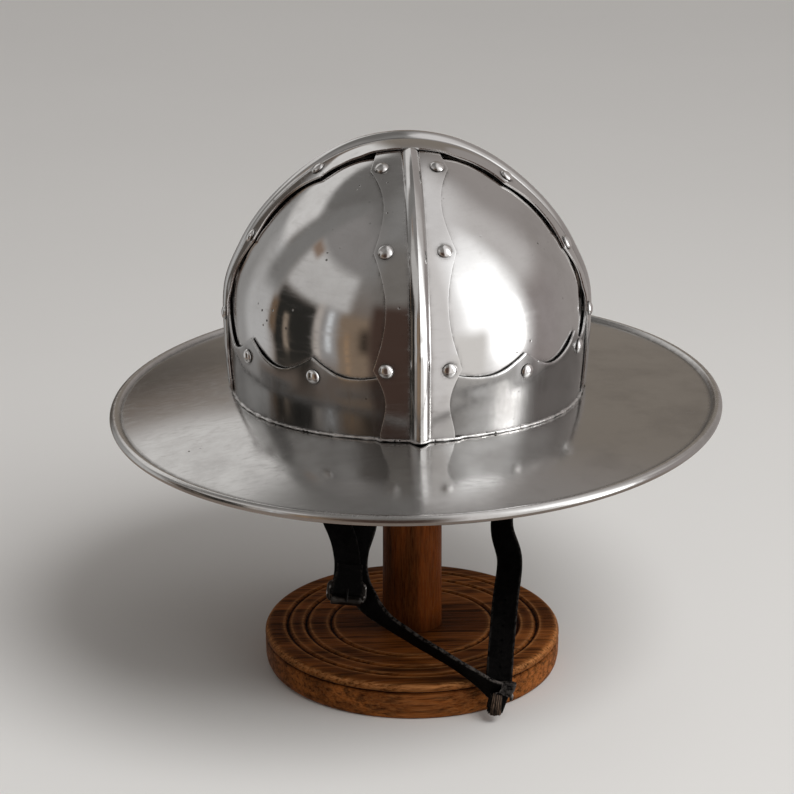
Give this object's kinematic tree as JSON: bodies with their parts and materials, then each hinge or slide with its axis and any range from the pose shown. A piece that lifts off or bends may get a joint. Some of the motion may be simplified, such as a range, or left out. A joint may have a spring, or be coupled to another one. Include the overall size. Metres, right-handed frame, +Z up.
{
  "type": "kettle hat on a wooden stand",
  "caption": "Wide-brimmed steel kettle hat with riveted ridged bands over a domed crown and a leather chin strap, resting on a turned round wooden stand.",
  "frame": {"origin": "under the middle of the brim, on the underside of the stand's base", "axes": "+Z up, the hat's front towards -Y, +X to the right seen from the front"},
  "size_m": [0.3646, 0.3816, 0.3336],
  "materials": {
    "polished_steel": "hand-polished steel with dark patina along the seams",
    "brushed_steel": "satin brushed steel, blurred reflections, dark stains",
    "rivet_steel": "bright domed rivet heads",
    "black_leather": "matt black leather with worn grey edges",
    "raw_leather": "rough brown cut ends",
    "black_metal": "blackened steel with worn spots",
    "dark_wood": "stained and waxed reddish-brown hardwood"
  },
  "bodies": {
    "root": {"brim": "brushed_steel", "brow_band": "polished_steel", "front_back_band": "polished_steel", "side_band": "polished_steel", "plate_front_right": "polished_steel", "plate_back_right": "polished_steel", "plate_back_left": "polished_steel", "plate_front_left": "polished_steel", "rivet_front_back_band_a1l": "rivet_steel", "rivet_front_back_band_a1r": "rivet_steel", "rivet_front_back_band_a2l": "rivet_steel", "rivet_front_back_band_a2r": "rivet_steel", "rivet_front_back_band_a3l": "rivet_steel", "rivet_front_back_band_a3r": "rivet_steel", "rivet_front_back_band_b1l": "rivet_steel", "rivet_front_back_band_b1r": "rivet_steel", "rivet_front_back_band_b2l": "rivet_steel", "rivet_front_back_band_b2r": "rivet_steel", "rivet_front_back_band_b3l": "rivet_steel", "rivet_front_back_band_b3r": "rivet_steel", "rivet_side_band_a1l": "rivet_steel", "rivet_side_band_b1l": "rivet_steel", "rivet_side_band_a1r": "rivet_steel", "rivet_side_band_a2r": "rivet_steel", "rivet_side_band_a3r": "rivet_steel", "rivet_side_band_b1r": "rivet_steel", "rivet_side_band_b2r": "rivet_steel", "rivet_side_band_b3r": "rivet_steel", "rivet_brow_034": "rivet_steel", "rivet_brow_064": "rivet_steel", "rivet_brow_116": "rivet_steel", "rivet_brow_146": "rivet_steel", "rivet_brow_212": "rivet_steel", "rivet_brow_242": "rivet_steel", "rivet_brow_298": "rivet_steel", "rivet_brow_328": "rivet_steel", "strap_rivet_left": "rivet_steel", "strap_rivet_right": "rivet_steel", "strap_left": "black_leather", "strap_right": "black_leather", "strap_cross": "black_leather", "strap_keeper": "black_leather", "strap_fold": "raw_leather", "buckle_frame": "black_metal", "buckle_roller": "black_metal", "buckle_tongue": "black_metal", "strap_stud": "black_metal", "stand_base": "dark_wood", "stand_post": "dark_wood", "stand_cap": "dark_wood"}
  },
  "joints": []
}
